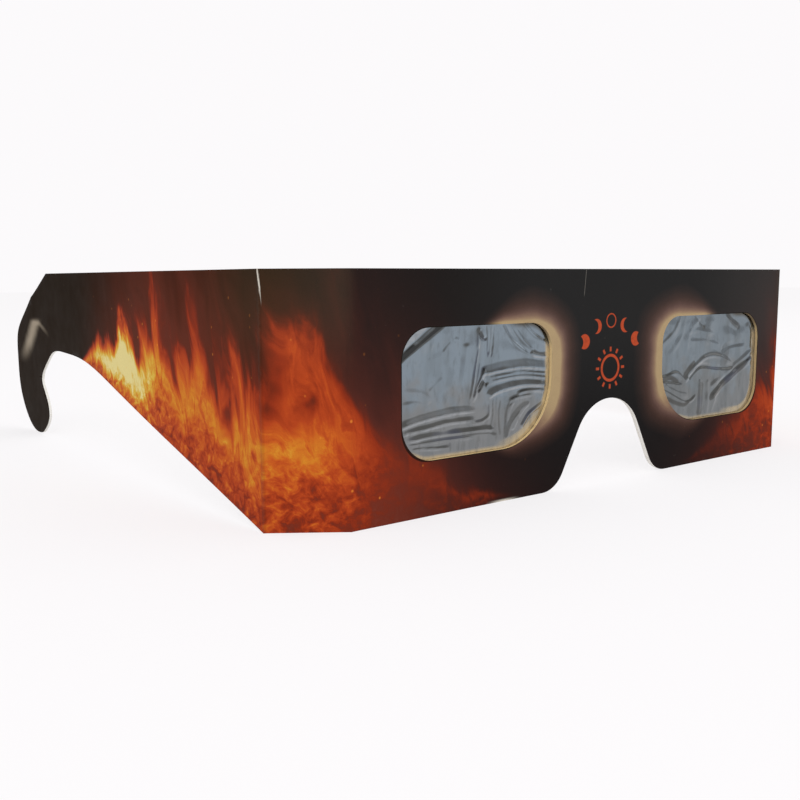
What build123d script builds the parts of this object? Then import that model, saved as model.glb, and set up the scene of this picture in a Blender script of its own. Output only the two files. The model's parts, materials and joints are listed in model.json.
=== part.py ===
from build123d import *
from math import cos, radians, sin, tan
import os

# Folding card eclipse glasses, standing open as they are worn.
# +Z is up, the printed front faces -Y and the temples run back along +Y.
# The origin is on the table, under the middle of the whole pair.

# The card blank, flat
card_thickness = 0.6
frame_height = 42.0
front_width = 120.7
return_width = 13.8
temple_length = 140.8

# How far each crease is bent, in degrees
front_bend = 35.0
temple_bend = 55.0

# Creases: a round bead on the panel nearer the nose, a hollow edge on the next panel
bead_swell = 0.05
bead_clearance = 0.05

# The punching tool sits a little to one side of the creases
punch_offset = 1.2

# Eye openings: the card left round and between them, and their corner radii as shares of
# their height
opening_side_margin = 9.0
opening_base_margin = 9.65
opening_top_margin = 9.75
opening_gap = 32.7
upper_outer_radius_share = 0.252
lower_outer_radius_share = 0.288
upper_inner_radius_share = 0.235
lower_inner_radius_share = 0.544

# Nose notch
nose_width = 29.2
nose_height = 16.7
nose_side_angle = 62.4
nose_lip_radius = 6.0

# Films and the glue that holds them
film_thickness = 0.1
film_margin = 3.5
glue_thickness = 0.1
glue_setback = 0.8
film_glue_inset = 0.3

# Plain card glued behind the front
liner_thickness = 0.6
liner_end_gap = 2.0
liner_top_gap = 0.8
liner_trim = 0.4
liner_glue_inset = 0.6
film_gap = 0.5

# Outline of the temple as (share of its length, share of the frame's height)
lower_edge_end_share = (0.497, 0.441)
hook_inner_shares = (
    (0.629, 0.529),
    (0.715, 0.543),
    (0.785, 0.523),
    (0.816, 0.464),
    (0.853, 0.345),
    (0.827, 0.226),
    (0.818, 0.132),
    (0.842, 0.045),
)
hook_tip_share = (0.889, 0.000)
hook_back_shares = (
    (0.933, 0.034),
    (0.970, 0.130),
    (0.995, 0.270),
    (1.000, 0.450),
    (0.995, 0.604),
    (0.956, 0.724),
    (0.900, 0.843),
)
top_corner_share = (0.793, 1.000)
top_corner_lean = 24.0

# Cutting tools run past the card by this much
overrun = 1.0

bead_radius = card_thickness / 2 + bead_swell
total_bend = front_bend + temple_bend
return_depth = return_width * sin(radians(front_bend))
temple_depth = temple_length * sin(radians(total_bend))
crease_y = (bead_radius - return_depth - temple_depth) / 2
front_y = crease_y - card_thickness / 2
film_y = front_y + card_thickness + glue_thickness
liner_y = film_y + film_thickness
liner_half_width = front_width / 2 - liner_end_gap
liner_height = frame_height - liner_top_gap
opening_width = (front_width - opening_gap) / 2 - opening_side_margin
opening_height = frame_height - opening_base_margin - opening_top_margin
opening_reach = (opening_gap + opening_width) / 2
opening_middle_z = opening_base_margin + opening_height / 2


def wall_plane(y):
    """A plane that faces the viewer at depth y, with X to the right and Z up."""
    return Plane(origin=(0, y, 0), x_dir=(1, 0, 0), z_dir=(0, -1, 0))


def panel_plane(side, start, bend):
    """The middle plane of a panel that leaves the crease at start, turned back by bend degrees."""
    run, turn = cos(radians(bend)), sin(radians(bend))
    return Plane(origin=start, x_dir=(side * run, turn, 0), z_dir=(turn, -side * run, 0))


def crease_at(side, start, length, bend):
    """The foot of the next crease, length away from start along a panel turned back by bend."""
    step_x = side * length * cos(radians(bend))
    step_y = length * sin(radians(bend))
    return (start[0] + step_x, start[1] + step_y, start[2])


def nose_notch(growth):
    """The nose notch: leaning sides that run into one round crown, grown all round by growth."""
    lean = radians(nose_side_angle)
    half_base = nose_width / 2 + growth / sin(lean)
    height = nose_height + growth
    half_crown = half_base - height / tan(lean)
    shoulder_x = half_crown * (1 + cos(lean))
    shoulder_z = height - half_crown * sin(lean)
    left_shoulder = (punch_offset - shoulder_x, shoulder_z)
    right_shoulder = (punch_offset + shoulder_x, shoulder_z)
    with BuildSketch() as notch:
        with BuildLine():
            ThreePointArc(right_shoulder, (punch_offset, height), left_shoulder)
            Polyline(
                left_shoulder,
                (punch_offset - half_base, 0),
                (punch_offset - half_base, -overrun),
                (punch_offset + half_base, -overrun),
                (punch_offset + half_base, 0),
                right_shoulder,
            )
        make_face()
    return notch.sketch


def front_outline(half_width, height, growth):
    """The front's outer shape, with the lips of its nose notch rounded."""
    with BuildSketch() as outline:
        Rectangle(2 * half_width, height, align=(Align.CENTER, Align.MIN))
        add(nose_notch(growth), mode=Mode.SUBTRACT)
        lips = outline.vertices().group_by(Axis.Y)[0].sort_by(Axis.X)[1:-1]
        fillet(lips, nose_lip_radius)
    return outline.sketch


def eye_opening(side, growth):
    """One eye opening, grown all round by growth, with a wide round corner towards the nose."""
    middle_x = punch_offset + side * opening_reach
    half_width = opening_width / 2 + growth
    half_height = opening_height / 2 + growth
    corners = (
        (side, 1, upper_outer_radius_share),
        (side, -1, lower_outer_radius_share),
        (-side, 1, upper_inner_radius_share),
        (-side, -1, lower_inner_radius_share),
    )
    with BuildSketch() as opening:
        with Locations((middle_x, opening_middle_z)):
            Rectangle(2 * half_width, 2 * half_height)
        for across, up, radius_share in corners:
            corner = (middle_x + across * half_width, opening_middle_z + up * half_height)
            radius = radius_share * opening_height + growth
            fillet(opening.vertices().sort_by_distance(corner)[0], radius)
    return opening.sketch


def on_temple(share):
    """A point of the temple's outline, along from its crease and up from the table."""
    return (share[0] * temple_length, share[1] * frame_height)


def save(piece, name):
    """Label one finished piece and write it to its own file."""
    piece.part.label = name
    export_step(piece.part, f"parts/{name}.step")


def crease_column(foot, radius, height, mode=Mode.ADD):
    """A round column along a whole crease: its bead, or the hollow that clears it."""
    with Locations((foot[0], foot[1], frame_height / 2)):
        Cylinder(radius, height, mode=mode)


os.makedirs("parts", exist_ok=True)
sides = {"left": -1, "right": 1}
front_creases = {name: (side * front_width / 2, crease_y, 0) for name, side in sides.items()}
liner_outer = front_outline(liner_half_width, liner_height, liner_trim)

# Front panel: the middle of the printed blank, with a bead along each front crease
with BuildPart() as front_panel:
    with BuildSketch(wall_plane(front_y)):
        add(front_outline(front_width / 2, frame_height, 0))
        for side in sides.values():
            add(eye_opening(side, 0), mode=Mode.SUBTRACT)
    extrude(amount=-card_thickness)
    for foot in front_creases.values():
        crease_column(foot, bead_radius, frame_height)
save(front_panel, "front_panel")

# Plain liner card behind the films
with BuildPart() as liner_card:
    with BuildSketch(wall_plane(liner_y)):
        add(liner_outer)
        for side in sides.values():
            add(eye_opening(side, liner_trim), mode=Mode.SUBTRACT)
    extrude(amount=-liner_thickness)
save(liner_card, "liner_card")

# Glue between the front and the liner, left open round the films
with BuildSketch() as glue_outer:
    add(liner_outer)
    offset(amount=-liner_glue_inset, kind=Kind.ARC)

with BuildPart() as liner_glue:
    with BuildSketch(wall_plane(front_y + card_thickness)):
        add(glue_outer.sketch)
        for side in sides.values():
            add(eye_opening(side, film_margin + film_gap), mode=Mode.SUBTRACT)
    extrude(amount=-(glue_thickness + film_thickness))
save(liner_glue, "liner_glue")

for name, side in sides.items():
    # Solar film, larger than its opening all round
    with BuildPart() as film:
        with BuildSketch(wall_plane(film_y)):
            add(eye_opening(side, film_margin))
        extrude(amount=-film_thickness)
    save(film, f"film_{name}")

    # Ring of glue that holds the film to the back of the front
    with BuildPart() as film_glue:
        with BuildSketch(wall_plane(front_y + card_thickness)):
            add(eye_opening(side, film_margin - film_glue_inset))
            add(eye_opening(side, glue_setback), mode=Mode.SUBTRACT)
        extrude(amount=-glue_thickness)
    save(film_glue, f"film_glue_{name}")

    front_crease = front_creases[name]
    temple_crease = crease_at(side, front_crease, return_width, front_bend)
    hollow = (bead_radius + bead_clearance, frame_height + overrun, Mode.SUBTRACT)

    # Side return: hollow towards the front's bead, with its own bead at the temple crease
    with BuildPart() as side_return:
        with BuildSketch(panel_plane(side, front_crease, front_bend)):
            Rectangle(return_width, frame_height, align=(Align.MIN, Align.MIN))
        extrude(amount=card_thickness / 2, both=True)
        crease_column(front_crease, *hollow)
        crease_column(temple_crease, bead_radius, frame_height)
    save(side_return, f"side_return_{name}")

    # Temple: a long arm whose lower edge rises to the ear, and a round ear hook
    with BuildPart() as temple:
        with BuildSketch(panel_plane(side, temple_crease, total_bend)):
            with BuildLine():
                head = (0, frame_height)
                foot = (0, 0)
                lower_edge = Line(foot, on_temple(lower_edge_end_share))
                hook_inner = Spline(
                    lower_edge @ 1,
                    *[on_temple(share) for share in hook_inner_shares],
                    on_temple(hook_tip_share),
                    tangents=(lower_edge % 1, Vector(1, 0)),
                )
                hook_back = Spline(
                    hook_inner @ 1,
                    *[on_temple(share) for share in hook_back_shares],
                    on_temple(top_corner_share),
                    tangents=(Vector(1, 0), Vector(-1, 0).rotate(Axis.Z, -top_corner_lean)),
                )
                Polyline(hook_back @ 1, head, foot)
            make_face()
        extrude(amount=card_thickness / 2, both=True)
        crease_column(temple_crease, *hollow)
    save(temple, f"temple_{name}")
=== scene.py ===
import json
from math import ceil, cos, pi, radians, sin, sqrt

import bmesh
import bpy
import numpy as np
from mathutils import Euler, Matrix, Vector


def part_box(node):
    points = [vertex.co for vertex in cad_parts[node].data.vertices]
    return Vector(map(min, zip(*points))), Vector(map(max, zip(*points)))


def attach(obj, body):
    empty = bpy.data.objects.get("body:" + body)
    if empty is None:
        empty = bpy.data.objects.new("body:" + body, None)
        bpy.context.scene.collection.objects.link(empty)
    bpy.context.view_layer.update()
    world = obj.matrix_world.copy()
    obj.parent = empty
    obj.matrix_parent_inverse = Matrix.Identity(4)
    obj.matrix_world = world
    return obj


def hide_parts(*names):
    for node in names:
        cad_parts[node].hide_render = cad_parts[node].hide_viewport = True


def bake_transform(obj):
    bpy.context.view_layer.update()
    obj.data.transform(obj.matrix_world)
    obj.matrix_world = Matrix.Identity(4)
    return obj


# Card eclipse glasses: printed blank, wrinkled solar films, plain liner card
# Places on the blank are in mm: u along it from the middle of the front, v up it

mm = 0.001

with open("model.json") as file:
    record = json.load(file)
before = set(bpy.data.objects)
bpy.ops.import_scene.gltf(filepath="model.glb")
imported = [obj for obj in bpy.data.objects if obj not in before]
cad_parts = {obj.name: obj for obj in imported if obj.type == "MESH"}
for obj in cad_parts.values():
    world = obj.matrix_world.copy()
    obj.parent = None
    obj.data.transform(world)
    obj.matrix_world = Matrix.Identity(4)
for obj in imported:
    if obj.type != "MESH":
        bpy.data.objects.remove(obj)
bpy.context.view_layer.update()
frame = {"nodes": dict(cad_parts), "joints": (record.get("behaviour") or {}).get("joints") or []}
nodes = frame["nodes"]
print("frame loaded:", ", ".join(sorted(nodes)))


# Layout of the blank, read from the frame
creases = {joint["name"]: Vector(joint["pos_m"]) for joint in frame["joints"]}
sides = {"left": -1, "right": 1}


def newPanel(body, start, along, side, reach):
    # a panel of the blank that leaves its crease at start, reach from the blank's middle
    outward = side * Vector((along.y, -along.x, 0))
    return {"body": body, "start": start, "along": along, "outward": outward,
            "side": side, "reach": reach / mm}


frontMiddle = Vector((0, creases["front_fold_left"].y, 0))
panels = {"front_panel": newPanel("front", frontMiddle, Vector((1, 0, 0)), 1, 0.0)}
for sideName, side in sides.items():
    frontCrease = creases["front_fold_" + sideName]
    templeCrease = creases["temple_fold_" + sideName]
    returnRun = templeCrease - frontCrease
    reach = abs(frontCrease.x)
    panels["side_return_" + sideName] = newPanel(
        "return_" + sideName, frontCrease, returnRun.normalized(), side, reach)
    panels["temple_" + sideName] = newPanel(
        "temple_arm_" + sideName, templeCrease, Vector((0, 1, 0)), side, reach + returnRun.length)

frontReach = panels["side_return_left"]["reach"]
templeReach = panels["temple_left"]["reach"]
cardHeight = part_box("front_panel")[1].z / mm
templeLow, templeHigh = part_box("temple_left")
templeLength = (templeHigh.y - creases["temple_fold_left"].y) / mm
blankReach = templeReach + templeLength
cardThickness = (templeHigh.x - templeLow.x) / mm

openingShape = {
    "filmMargin": 3.5,  # how far each film runs past its opening
    "radii": ((5.7, 5.3), (6.5, 12.3)),  # upper and lower corners, each away from the nose and by it
}


def findOpening(sideName):
    low, high = (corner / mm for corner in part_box("film_" + sideName))
    margin = openingShape["filmMargin"]
    return {
        "side": sides[sideName],
        "middleX": (low.x + high.x) / 2, "middleZ": (low.z + high.z) / 2,
        "halfWidth": (high.x - low.x) / 2 - margin,
        "halfHeight": (high.z - low.z) / 2 - margin,
    }


openings = {sideName: findOpening(sideName) for sideName in sides}
print("blank laid out:", round(2 * blankReach, 1), "mm long,", round(cardHeight, 1), "mm high")


# Small tools for node trees
def mathMethod(operation):
    # a method that adds one math node
    return lambda signal, *others: signal.math(operation, *others)


class Signal:
    # a value in a node tree that adds and multiplies like a number
    __add__, __sub__, __mul__, __truediv__ = map(mathMethod, ("ADD", "SUBTRACT", "MULTIPLY", "DIVIDE"))
    absolute, atLeast, atMost = map(mathMethod, ("ABSOLUTE", "MAXIMUM", "MINIMUM"))

    def __init__(self, socket):
        self.socket = socket
        self.tree = socket.id_data

    def math(self, operation, *others):
        node = self.tree.nodes.new("ShaderNodeMath")
        node.operation = operation
        for socket, value in zip(node.inputs, (self, *others)):
            plug(value, socket)
        return Signal(node.outputs[0])

    def flipped(self):
        return self.math("MULTIPLY_ADD", -1.0, 1.0)

    def rise(self, low, high):
        # 0 below low and 1 above high, or the other way round, with a smooth change
        node = self.tree.nodes.new("ShaderNodeMapRange")
        node.interpolation_type = "SMOOTHSTEP"
        ends = (self, min(low, high), max(low, high), float(low > high), float(low < high))
        for socket, value in zip(node.inputs, ends):
            plug(value, socket)
        return Signal(node.outputs["Result"])

    def near(self, middle, width):
        return (self - middle).absolute().rise(width, 0.0)


def plug(value, socket):
    if isinstance(value, Signal):
        value.tree.links.new(value.socket, socket)
    else:
        socket.default_value = value


def newTree(holder, output="OutputMaterial"):
    # an empty node tree, and where its surface goes in
    holder.use_nodes = True
    tree = holder.node_tree
    tree.nodes.clear()
    return tree, tree.nodes.new("ShaderNode" + output).inputs["Surface"]


def newMaterial(name):
    material = bpy.data.materials.new(name)
    tree, surface = newTree(material)
    shader = tree.nodes.new("ShaderNodeBsdfPrincipled")
    tree.links.new(shader.outputs["BSDF"], surface)
    return material, shader, attribute(tree, "blankPlace")


def added(tree, kind, output=0, **inputs):
    # the output of a new node whose inputs are set by name
    node = tree.nodes.new("ShaderNode" + kind)
    for name, value in inputs.items():
        plug(value, node.inputs[name])
    return Signal(node.outputs[output])


def joined(x, y, z=0.0):
    return added(x.tree, "CombineXYZ", X=x, Y=y, Z=z)


def noise(vector, scale, detail=3.0, roughness=0.5, distortion=0.0, output="Fac"):
    return added(vector.tree, "TexNoise", output, Vector=vector, Scale=scale, Detail=detail,
                 Roughness=roughness, Distortion=distortion)


def attribute(tree, name, output="Vector"):
    node = tree.nodes.new("ShaderNodeAttribute")
    node.attribute_name = name
    return Signal(node.outputs[output])


def split(vector):
    node = vector.tree.nodes.new("ShaderNodeSeparateXYZ")
    plug(vector, node.inputs[0])
    return [Signal(socket) for socket in node.outputs]


def ramp(signal, stops, interpolation="LINEAR"):
    node = signal.tree.nodes.new("ShaderNodeValToRGB")
    node.color_ramp.interpolation = interpolation
    plug(signal, node.inputs["Fac"])
    elements = node.color_ramp.elements
    while len(elements) < len(stops):
        elements.new(0.5)
    for element, (place, *colour) in zip(elements, stops):
        element.position = place
        element.color = (*colour, 1.0)
    return Signal(node.outputs["Color"])


def greyRamp(signal, stops, interpolation="B_SPLINE"):
    return ramp(signal, [(place, level, level, level) for place, level in stops], interpolation)


def mixed(factor, first, second, kind="MIX"):
    tree = next(part.tree for part in (factor, first, second) if isinstance(part, Signal))
    node = tree.nodes.new("ShaderNodeMix")
    node.data_type = "RGBA"
    node.blend_type = kind
    plug(factor, node.inputs[0])
    for socket, value in ((node.inputs[6], first), (node.inputs[7], second)):
        plug(value if isinstance(value, Signal) else (*value, 1.0), socket)
    return Signal(node.outputs[2])


def layered(colour, *layers):
    # each layer is its cover of what lies under it, and its colour
    for share, over in layers:
        colour = mixed(share, colour, over)
    return colour


def finishShader(shader, look, colour, roughness, relief):
    plug(colour, shader.inputs["Base Color"])
    plug(roughness, shader.inputs["Roughness"])
    shader.inputs["Specular IOR Level"].default_value = look["specular"]
    depth = look["reliefDepth"] * mm
    bump = added(shader.id_data, "Bump", "Normal", Strength=1.0, Distance=depth, Height=relief)
    plug(bump, shader.inputs["Normal"])


# The print: dark card with flames along its lower edge, glow round the openings, phase marks
printLook = {
    "lowInk": (0.0105, 0.0100, 0.0102), "deepInk": (0.0135, 0.0125, 0.0120),
    "ink": (0.0215, 0.0210, 0.0210), "paintedSheenInk": (0.035, 0.034, 0.033), "hookInk": (0.0136, 0.0058, 0.0006),
    "haze": (0.29, 0.056, 0.032), "brownPaintedSheen": (0.0085, 0.0125, 0.0075), "spark": (0.86, 0.28, 0.04),
    "hazeReach": (9.5, 11.0, 17.0),  # on the front, the returns and the temples
    "flameHeight": 23.0, "tongueWidth": 11.0,
    "lowerEdgeRise": 0.264,  # slope of the temple's lower edge
    "lowerEdgeReach": 78.0,
    "core": (134.0, 26.0),  # where the temples are hottest, and how far that reaches
    "dullRight": 0.36,  # how much cooler the flames are on the right of the front
    "roughness": 0.46, "specular": 0.012, "reliefDepth": 0.35,
    "markColour": (0.50, 0.075, 0.028), "scuffColour": (0.66, 0.61, 0.53),
    # the last two: colour and place of a painted highlight on the ear hook
    "paintedHighlight": (0.46, 0.385, 0.29), "paintedHighlightPlace": (201.5, 26.0),
}

# Height of the flames and strength of the red haze, by place as a share of the blank's half length
flameShares = ((0.0, 0.0), (0.085, 0.02), (0.135, 0.06), (0.165, 0.24), (0.195, 0.38), (0.25, 0.82),
               (0.29, 1.25), (0.37, 1.15), (0.51, 1.0), (0.595, 0.86), (0.66, 0.50), (0.72, 0.12),
               (0.77, 0.0))
hazeShares = ((0.0, 0.0), (0.14, 0.04), (0.21, 0.56), (0.25, 0.86), (0.29, 1.0), (0.52, 1.0),
              (0.59, 0.80), (0.66, 0.30), (0.72, 0.05), (0.77, 0.0))
# Heat of a flame, from its foot at 0 to 1.5 times its own height at 1
flameBody = ((0.0, 0.38), (0.10, 0.43), (0.22, 0.56), (0.34, 0.72), (0.47, 0.50), (0.62, 0.20), (0.80, 0.0))
flameColours = (
    (0.0, 0.060, 0.010, 0.006), (0.14, 0.13, 0.018, 0.008), (0.30, 0.29, 0.034, 0.011),
    (0.46, 0.46, 0.062, 0.015), (0.60, 0.59, 0.118, 0.018), (0.74, 0.67, 0.240, 0.024),
    (0.88, 0.72, 0.47, 0.062), (1.0, 0.80, 0.68, 0.29),
)


def flameColour(u, v):
    # tongues of flame above glowing coals, in a red haze
    look = printLook
    away = u.absolute()
    cooler = u.rise(4.0, 18.0) * away.rise(82.0, 60.0) * look["dullRight"]
    strength = cooler.flipped() * (away.rise(50.0, 68.0) * 0.66 + u.rise(34.0, 50.0) * 0.30 + 0.34)
    floor = (away - templeReach).atLeast(0.0).atMost(look["lowerEdgeReach"])
    above = (v - floor * look["lowerEdgeRise"]).atLeast(0.0)
    envelope = greyRamp(away / blankReach, flameShares)

    wide, high = look["tongueWidth"], 2.6 * look["tongueWidth"]
    swirlX, swirlY, _ = split(noise(joined(u / wide, above / high), 0.9, 2.0, output="Color"))
    flow = joined(u / wide + swirlX * 1.7 + above * 0.03, above / high + swirlY * 0.8)
    tongues = noise(flow, 1.15, 4.0, roughness=0.56)
    fine = noise(flow, 4.2, 5.0, roughness=0.6, distortion=0.4)
    threads = ((fine - 0.5).absolute() * 2.0).flipped().math("POWER", 6.0)
    tongues = ((tongues - 0.5) * 2.6 + 1.0).atLeast(0.2) + away.near(69.0, 13.0) * 0.34
    tall = envelope * tongues * look["flameHeight"] + 0.3
    height = above / tall
    body = greyRamp(height / 1.5, flameBody)
    coals = noise(joined(u, v * 1.15), 0.42, 5.0, roughness=0.62, distortion=0.6)
    heat = body * ((fine - 0.5) * 0.9 + 1.0) + threads * body * 0.20
    heat = heat + (coals - 0.52) * height.rise(0.75, 0.0) * 1.5
    core = away.near(*look["core"]) * height.near(0.38, 0.60) * (u.rise(60.0, -60.0) * 0.47 + 0.06)
    heat = (heat * 0.93 + core) * strength * envelope.rise(0.01, 0.12)

    rest = (above - tall * 0.55).atLeast(0.0)
    nearReach, middleReach, farReach = look["hazeReach"]
    hazeReach = away.rise(54.0, 64.0) * (middleReach - nearReach) + nearReach
    hazeReach = away.rise(74.0, 100.0) * (farReach - middleReach) + hazeReach
    haze = (rest / hazeReach * -1.0).math("EXPONENT") * greyRamp(away / blankReach, hazeShares)
    haze = haze * cooler.flipped() * 0.80
    sparkGrid = {"Vector": joined(u, v * 0.8), "Scale": 0.42}
    sparkPick, _, _ = split(added(u.tree, "TexVoronoi", "Color", **sparkGrid))
    sparks = added(u.tree, "TexVoronoi", "Distance", **sparkGrid).rise(0.12, 0.04)
    colour = layered(
        look["deepInk"],
        (u.rise(-46.0, -14.0), look["ink"]),
        # painted sheen: the ink turns paler towards the right of the front, as if the gloss caught the
        # light there
        (u.rise(24.0, 60.0), look["paintedSheenInk"]),
        (v.rise(34.0, 5.0), look["lowInk"]),
        (away.rise(56.0, 80.0), look["hookInk"]),
        (haze, look["haze"]),
        (heat.rise(0.02, 0.34) * envelope.rise(0.0, 0.05), ramp(heat, flameColours)),
        (sparks * sparkPick.rise(0.60, 0.68) * haze, look["spark"]),
    )
    # painted sheen: a brown tint screened over the upper return and the start of the temple, as the gloss
    # would reflect the room
    paintedSheenShare = away.rise(58.5, 61.5) * away.rise(102.0, 74.0) * v.rise(22.0, 38.0)
    return mixed(paintedSheenShare, colour, look["brownPaintedSheen"], "SCREEN")


# Glow round the openings: even for a little way by the nose, thinner above and below, then fading. A
# painted shade line runs along their edge
glowLook = {
    "even": {"left": 2.25, "right": 1.65}, "start": {"left": (1.0, 6.6), "right": (-1.2, 4.8)},
    "taper": {"left": (0.0, 14.0), "right": (-2.5, 13.0)},
    "reach": {"left": 5.9, "right": 7.8}, "topReach": 6.6, "farReach": 0.22, "evenAbove": 0.15,
    "belowStart": 0.27, "border": 0.24, "paintedEdgeShade": (0.012, 0.009, 0.007),
}
glowColours = (
    (0.0, 0.42, 0.30, 0.158), (0.03, 0.385, 0.27, 0.147), (0.075, 0.30, 0.195, 0.114),
    (0.15, 0.21, 0.125, 0.084), (0.24, 0.135, 0.073, 0.054), (0.34, 0.084, 0.042, 0.032),
    (0.44, 0.056, 0.026, 0.018), (0.55, 0.035, 0.015, 0.010), (0.75, 0.014, 0.006, 0.004),
    (1.0, 0.0, 0.0, 0.0),
)


def distanceToOpening(u, v, opening):
    # signed distance to the opening's outline, with its own radius in the lower corner by the nose
    across = u - opening["middleX"]
    up = v - opening["middleZ"]
    (small, _), (_, large) = openingShape["radii"]
    inner = (across * -opening["side"]).math("GREATER_THAN", 0.0)
    lower = up.math("LESS_THAN", 0.0)
    radius = inner * lower * (large - small) + small
    overX = (across.absolute() - opening["halfWidth"]) + radius
    overZ = (up.absolute() - opening["halfHeight"]) + radius
    return lengthOf(overX.atLeast(0.0), overZ.atLeast(0.0)) + overX.atLeast(overZ).atMost(0.0) - radius


def lengthOf(across, up):
    return (across * across + up * up).math("SQRT")


def addGlow(colour, u, v):
    look = glowLook
    for sideName, opening in openings.items():
        away = distanceToOpening(u, v, opening)
        across = (u - opening["middleX"]) * -opening["side"]
        up = v - opening["middleZ"]
        outside = away.atLeast(0.0)
        noseSide = (across + up * 0.1 - outside * 0.4).rise(*look["start"][sideName])
        tapered = (across + up * 0.1).rise(*look["taper"][sideName])
        beyond = across - opening["halfWidth"]
        above = (up - opening["halfHeight"] - beyond).rise(-8.0, 8.0)
        below = (up * -1.0 - opening["halfHeight"] - beyond).rise(-9.0, 8.0)
        sideReach = look["reach"][sideName]
        reach = above * (look["topReach"] - sideReach) + sideReach
        reach = reach * (tapered * (1.0 - look["farReach"]) + look["farReach"])
        even = (above * (1.0 - look["evenAbove"]) + below).atMost(1.0).flipped()
        even = even * noseSide * look["even"][sideName]
        uneven = (noise(joined(u, v), 0.30, 2.0) - 0.5) * 0.10 * away.rise(0.0, 2.0)
        share = (outside - even).atLeast(0.0) / reach + uneven
        glow = ramp(share + below * look["belowStart"], glowColours)
        colour = mixed(noseSide * 0.97 + 0.03, colour, mixed(1.0, colour, glow, "SCREEN"))
        # painted shade: a thin dark line along the edge of each opening, away from the nose and all along
        # the bottom
        border = away.rise(look["border"], look["border"] * 0.4)
        border = border * (noseSide.flipped() + up.rise(-8.5, -12.0)).atMost(1.0)
        colour = mixed(border * 0.9, colour, look["paintedEdgeShade"])
    return colour


# Phases of an eclipse between the openings: five discs over a ring with short rays
phaseLook = {
    "ringHeight": 22.7, "ringRadius": 2.75, "ringShare": 0.80, "rays": 12, "rayEnds": (3.25, 4.15),
    "rayWidth": 0.26, "rayEndSoft": 0.1, "arcRadius": 9.3, "arcStep": 27.0, "discRadius": 1.45,
    "soft": 0.07, "moonStep": 0.62, "moonShare": 0.98, "fullMoonShare": 0.82,
}


def disc(u, v, middleU, middleV, radius):
    soft = phaseLook["soft"]
    return lengthOf(u - middleU, v - middleV).rise(radius + soft, radius - soft)


def addPhases(colour, u, v):
    look = phaseLook
    middle = (openings["left"]["middleX"] + openings["right"]["middleX"]) / 2
    radius, height = look["ringRadius"], look["ringHeight"]
    lit = disc(u, v, middle, height, radius) - disc(u, v, middle, height, radius * look["ringShare"])
    across, up = u - middle, v - height
    distance = lengthOf(across, up)
    turn = up.math("ARCTAN2", across) * (look["rays"] / (2 * pi))
    fromRay = (turn - turn.math("ROUND")).absolute() * distance * (2 * pi / look["rays"])
    ray = fromRay.rise(look["rayWidth"] + look["soft"], look["rayWidth"] - look["soft"])
    (start, end), soft = look["rayEnds"], look["rayEndSoft"]
    lit = lit + ray * distance.rise(start - soft, start + soft) * distance.rise(end + soft, end - soft)
    for phase in range(-2, 3):
        lean = radians(phase * look["arcStep"])
        placeU, placeV = middle + look["arcRadius"] * sin(lean), height + look["arcRadius"] * cos(lean)
        sun = disc(u, v, placeU, placeV, look["discRadius"])
        shift = phase * look["moonStep"] * look["discRadius"]
        moonRadius = look["discRadius"] * (look["moonShare"] if phase else look["fullMoonShare"])
        moon = disc(u, v, placeU + shift, placeV + 0.1 * shift, moonRadius)
        lit = lit + sun * moon.flipped()
    uneven = noise(joined(u, v), 1.4).rise(0.2, 0.6) * 0.25 + 0.72
    return mixed(lit.atMost(1.0) * uneven, colour, printLook["markColour"])


# Wear of the print: cracks at the temple creases, a scratch over the nose, a rubbed place at the foot
wearLook = {
    "crackSlant": 0.060, "crackWidth": 0.11, "crackLength": 6.0, "faintWidth": 0.20, "faint": 0.02,
    "scratchAt": (-6.3, 41.0), "scratchLean": 0.10, "scratchFrom": 36.6, "scratch": 0.22, "rub": 0.045,
    "footAt": -27.0, "footReach": 4.5,
}


def wear(place, u, v):
    look = wearLook
    ragged = (noise(place, 1.6, 4.0) - 0.5) * 0.35
    fromCrease = u.absolute() - templeReach
    slant = (v - cardHeight) * look["crackSlant"]
    crack = (fromCrease - slant + ragged * 0.4).near(0.0, look["crackWidth"])
    crack = crack * v.rise(cardHeight - look["crackLength"], cardHeight - look["crackLength"] / 2)
    faint = (fromCrease + ragged).near(0.0, look["faintWidth"]) * look["faint"]
    scratchU, scratchV = look["scratchAt"]
    scratch = (u - scratchU - (v - scratchV) * look["scratchLean"]).near(0.0, 0.10)
    scratch = scratch * v.rise(look["scratchFrom"], look["scratchFrom"] + 0.8) * look["scratch"]
    rub = noise(place, 0.55, 6.0, roughness=0.7).rise(0.67, 0.74) * look["rub"]
    foot = v.rise(0.55, 0.1) * u.near(look["footAt"], look["footReach"])
    return (crack + faint + scratch + rub + foot).atMost(1.0)


def hookPaintedHighlight(place, u, v):
    # a painted highlight down the back of the ear hook, where the bent card catches the light, with a thin
    # tail towards its inside
    placeU, placeV = printLook["paintedHighlightPlace"]
    across, up = u.absolute() - placeU, v - placeV
    bend = (noise(place, 0.3, 2.0) - 0.5) * 2.0
    paintedHighlight = (across + up * 1.1 + bend).near(0.0, 6.0) * up.rise(-8.5, -1.0) * up.rise(5.0, 2.2)
    tail = (up - 3.3 - (across + 7.0).atMost(0.0) * 0.35).near(0.0, 1.1)
    tail = tail * across.rise(-16.0, -8.0) * across.rise(2.0, -3.0)
    return (paintedHighlight + tail * 0.45).atMost(1.0) * 0.72


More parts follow.
